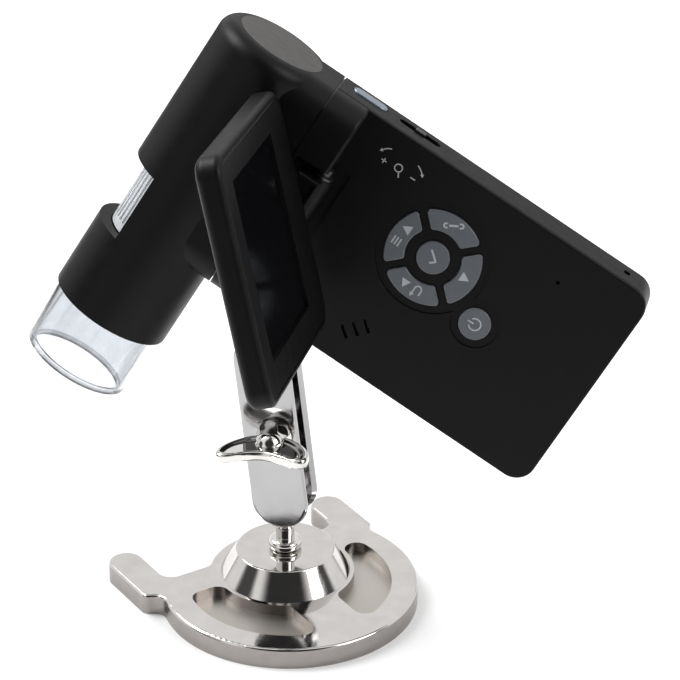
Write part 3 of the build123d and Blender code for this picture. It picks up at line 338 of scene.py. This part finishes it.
# round the zoom lever: magnifier, plus and minus with the lever's two ways
ZOOM = 46.0, 102.0
for name, bands in {
    "mark_zoom": [band(arc(0.43, 0.61, 1.1, 0, 360), THIN), band(line((-0.45, 0.05), (-1.96, -0.78)), 0.36)],
    "mark_plus": [band(line((-0.88, 5.06), (0.72, 5.06)), THIN),
                  band(line((-0.08, 4.26), (-0.08, 5.86)), THIN)],
    "mark_minus": [band(line((0.11, -5.04), (0.11, -3.44)), THIN)],
    "mark_lever_left": [band([(3.87, 4.96), (3.5, 5.75), (3.0, 6.4), (2.5, 6.85), (2.2, 7.1)], 0.28),
                        arrowhead(1.59, 7.56, 143, 0.9)],
    "mark_lever_right": [band([(4.11, -3.45), (3.85, -4.1), (3.44, -4.73), (3.05, -5.3), (2.6, -5.75)],
                              0.28),
                         arrowhead(1.9, -6.3, -142, 0.9)],
}.items():
    marks(name, bands, ZOOM, FACE_Y, "head")


# ---------------------------------------------------------------- wing nut, seam strip and cap ring
def surface(name, points, faces, place, material, body):
    """A smooth piece from points in mm in the frame place, its doubled points joined."""
    local = np.array(place)
    mesh = bpy.data.meshes.new(name)
    points = np.asarray(points, float) * MM @ local[:3, :3].T + local[:3, 3]
    mesh.from_pydata(points.tolist(), [], faces)
    tidy = bmesh.new()
    tidy.from_mesh(mesh)
    bmesh.ops.remove_doubles(tidy, verts=tidy.verts, dist=2e-7)
    bmesh.ops.dissolve_degenerate(tidy, edges=tidy.edges, dist=1e-7)
    bmesh.ops.recalc_face_normals(tidy, faces=tidy.faces)
    tidy.to_mesh(mesh)
    tidy.free()
    mesh.shade_smooth()
    mesh.set_sharp_from_angle(angle=math.radians(38))
    mesh.materials.append(material)
    piece = bpy.data.objects.new(name, mesh)
    bpy.context.scene.collection.objects.link(piece)
    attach(piece, body)
    return piece


def sheet(rows, cols, base=0):
    """Quads of a grid of rows by cols points whose columns close on themselves."""
    quads = []
    for r in range(rows - 1):
        near, far = base + r * cols, base + (r + 1) * cols
        quads += [(near + c, near + (c + 1) % cols, far + (c + 1) % cols, far + c) for c in range(cols)]
    return quads


RIM_STEPS, CENTRE_STEPS = 240, 36  # points round the wings and from their centre to the rim
HUB_STEPS = 72


def wings():
    """Two dished wings as one lens-like body over a closed outline.

    The outline is star-shaped about (0, 8). A point at the distance d from it stands at the height
    h(d): a half-round rim, 1.5 sqrt(1 - (1 - d)^2) for d under 1, then a smooth fall to 0.7 at 2.8.
    """
    half = [(0, 1.6), (4.86, 1.9), (10.3, 5.6), (13.5, 10.3), (13.5, 15.3), (9.45, 15.6), (4.6, 13.3),
            (0, 12.3)]
    rim = np.array(half + [(-x, y) for x, y in half[-2:0:-1]], float)
    for _ in range(4):
        after = np.roll(rim, -1, axis=0)
        rim = np.stack([0.75 * rim + 0.25 * after, 0.25 * rim + 0.75 * after], axis=1).reshape(-1, 2)
    centre = np.array([0, 8.0])
    away = rim - centre
    bearing = np.unwrap(np.arctan2(away[:, 1], away[:, 0]))
    order = np.argsort(bearing)
    around = np.linspace(bearing.min(), bearing.min() + 2 * math.pi, RIM_STEPS, endpoint=False)
    reach = np.interp(around, bearing[order], np.hypot(*away.T)[order], period=2 * math.pi)
    way = np.stack([np.cos(around), np.sin(around)], axis=1)
    part = np.sin(np.linspace(0, math.pi / 2, CENTRE_STEPS))
    flat = centre + part[:, None, None] * (reach[:, None] * way)
    edge = centre + reach[:, None] * way
    d = np.sqrt(((flat[:, :, None] - edge[None, None]) ** 2).sum(-1)).min(-1)
    t = np.clip((d - 1.0) / 1.8, 0, 1)
    rounded = 1.5 * np.sqrt(np.clip(1 - (1 - d) ** 2, 0, 1))
    h = np.where(d < 1.0, rounded, 1.5 - 0.8 * t * t * (3 - 2 * t))
    h[-1] = 0
    front = np.concatenate([flat, h[..., None]], axis=-1)
    back = front[::-1] * [1, 1, -1]
    return np.concatenate([front, back[1:]]).reshape(-1, 3), 2 * CENTRE_STEPS - 1, RIM_STEPS


def hub():
    """Foot of radius 5.2 that narrows to 4.1, under a ball, turned about y.

    The ball is y = 4.9 + 4.15 sin(a), r = 4.15 cos(a), for a from -8 to 90 degrees.
    """
    a = np.radians(np.linspace(-8, 90, 22))
    up = np.concatenate([[0, 0, 0.25, 0.8, 1.6, 2.4, 3.2, 4.0], 4.9 + 4.15 * np.sin(a)])[:, None]
    r = np.concatenate([[0, 4.9, 5.2, 5.15, 4.75, 4.45, 4.25, 4.12], 4.15 * np.cos(a)])[:, None]
    turned = np.linspace(0, 2 * math.pi, HUB_STEPS, endpoint=False)
    grid = np.stack([r * np.cos(turned), np.broadcast_to(up, (len(up), HUB_STEPS)), r * np.sin(turned)], -1)
    return grid.reshape(-1, 3), len(up), HUB_STEPS


NUT = ARM @ shift(1.6, -6.85, 22.55) @ turn("Y", 3.0) @ turn("X", 180)
wing_points, rows, cols = wings()
hub_points, hub_rows, hub_cols = hub()
nut = surface("wing_nut_cast", np.concatenate([wing_points, hub_points]),
              sheet(rows, cols) + sheet(hub_rows, hub_cols, len(wing_points)), NUT, chrome, "wing_nut")
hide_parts("wing_nut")


def slab(name, outline, low, high, axis, material):
    """A flat piece on the head: a closed outline in the other two axes, from low to high along one."""
    outline = np.asarray(outline, float)
    n = len(outline)
    points = np.concatenate([np.insert(outline, axis, v, axis=1) for v in (low, high)])
    faces = [tuple(range(n))[::-1], tuple(range(n, 2 * n))] + [(i, (i + 1) % n, n + (i + 1) % n, n + i)
                                                               for i in range(n)]
    return surface(name, points, faces, HEAD, material, "head")


# dark strip that closes the open seam between the barrel and the body, and the disc of the cap, painted paler
# and browner than the body: painted light on the barrel's top
seam = np.concatenate([[(8.7, 46.2), (8.7, 110.6), (-5.2, 110.6)], arc(-5.2, 101.2, 9.4, 90, 180, 9),
                       arc(-5.2, 55.8, 9.4, 180, 270, 9), [(-5.0, 46.2)]])
slab("seam_gasket", seam, 19.25, 19.55, 0, gloss_abs)
# painted light: the cap disc's paler brownish colour stands in for the light falling on the top
cap_painted_light = finish("cap_painted_light", "#2c2825", "#241f1d", (0.3, 0.36), 6.0, 0.12, 0.003, **{"IOR": 1.5})
slab("cap_ring", arc(0, 0, 13.0, 0, 360, 97)[:-1], 111.3, 111.56, 2, cap_painted_light)


# ---------------------------------------------------------------- studio
def disc(name, radius, height, colour):
    """Round floor: a circle of 96 points."""
    mesh = bpy.data.meshes.new(name)
    a = np.linspace(0, 2 * math.pi, 96, endpoint=False)
    rim = np.stack([radius * np.cos(a), radius * np.sin(a), np.full(96, height)], axis=1)
    mesh.from_pydata(rim.tolist(), [], [tuple(range(96))])
    mesh.materials.append(colour)
    o = bpy.data.objects.new(name, mesh)
    bpy.context.scene.collection.objects.link(o)


paper = finish("studio_paper", "#fbfbfb", "#f6f6f6", (0.7, 0.8), 60.0, **{"IOR": 1.4})
disc("studio_floor", 0.6, 0.0, paper)


def softbox(name, at, aim, size, power):
    """Square area light that faces a point."""
    lamp = bpy.data.lights.new(name, "AREA")
    lamp.shape = "SQUARE"
    lamp.size = size
    lamp.energy = power
    o = bpy.data.objects.new(name, lamp)
    o.location = at
    away = Vector(at) - Vector(aim)
    o.rotation_mode = "QUATERNION"
    o.rotation_quaternion = away.to_track_quat("Z", "Y")
    bpy.context.scene.collection.objects.link(o)


softbox("key_light", (-0.55, 0.25, 0.85), (0.02, 0.0, 0.1), 0.55, 9.0)
softbox("fill_light", (0.75, -0.35, 0.6), (0.03, 0.0, 0.1), 0.5, 4.0)

# dim parts of the studio, which the plated pieces mirror: direction, outer and inner angle, light left
CARDS = [((0, -0.82, 0.57), 44, 26, 0.04), ((0, 0, -1), 94, 84, 0.05), ((-0.95, -0.25, 0.2), 22, 12, 0.08),
         ((0.93, -0.3, 0.25), 24, 14, 0.08), ((0.5, 0.85, 0.1), 18, 8, 0.7)]
world = bpy.data.worlds.new("studio")
bpy.context.scene.world = world
world.use_nodes = True
w = world.node_tree
w.nodes.clear()
sky = add(w, "ShaderNodeTexCoord").outputs["Generated"]


def card(way, outer, inner, left):
    """Dims the studio inside a cone round a direction, from its outer to its inner angle in degrees."""
    way = np.array(way) / np.linalg.norm(way)
    near = add(w, "ShaderNodeVectorMath", {0: sky, 1: way.tolist()}, operation="DOT_PRODUCT")
    values = {"Value": near.outputs["Value"], "From Min": math.cos(math.radians(outer)),
              "From Max": math.cos(math.radians(inner)), "To Min": 1.0, "To Max": left}
    return add(w, "ShaderNodeMapRange", values, interpolation_type="SMOOTHSTEP").outputs["Result"]


shade = 1.0
for way, outer, inner, left in CARDS:
    dimmed = add(w, "ShaderNodeMath", {0: shade, 1: card(way, outer, inner, left)}, operation="MULTIPLY")
    shade = dimmed.outputs[0]
seen = add(w, "ShaderNodeLightPath").outputs["Is Camera Ray"]
lit = add(w, "ShaderNodeBackground", {"Color": (1, 1, 1, 1), "Strength": shade})
pale = add(w, "ShaderNodeBackground", {"Color": linear("#fdfdfd"), "Strength": 1.0})
mixed = add(w, "ShaderNodeMixShader", {0: seen, 1: lit.outputs[0], 2: pale.outputs[0]})
add(w, "ShaderNodeOutputWorld", {"Surface": mixed.outputs[0]})

camera = bpy.data.cameras.new("camera")
camera.lens = 191.6
camera.sensor_width = 36.0
camera.clip_start = 0.05
camera.clip_end = 20.0
eye = bpy.data.objects.new("camera", camera)
eye.location = (0.01586, -0.8955, 0.5624)
eye.rotation_euler = (math.radians(61.77), 0, 0)
bpy.context.scene.collection.objects.link(eye)
bpy.context.scene.camera = eye
bpy.context.scene.view_settings.view_transform = "Standard"
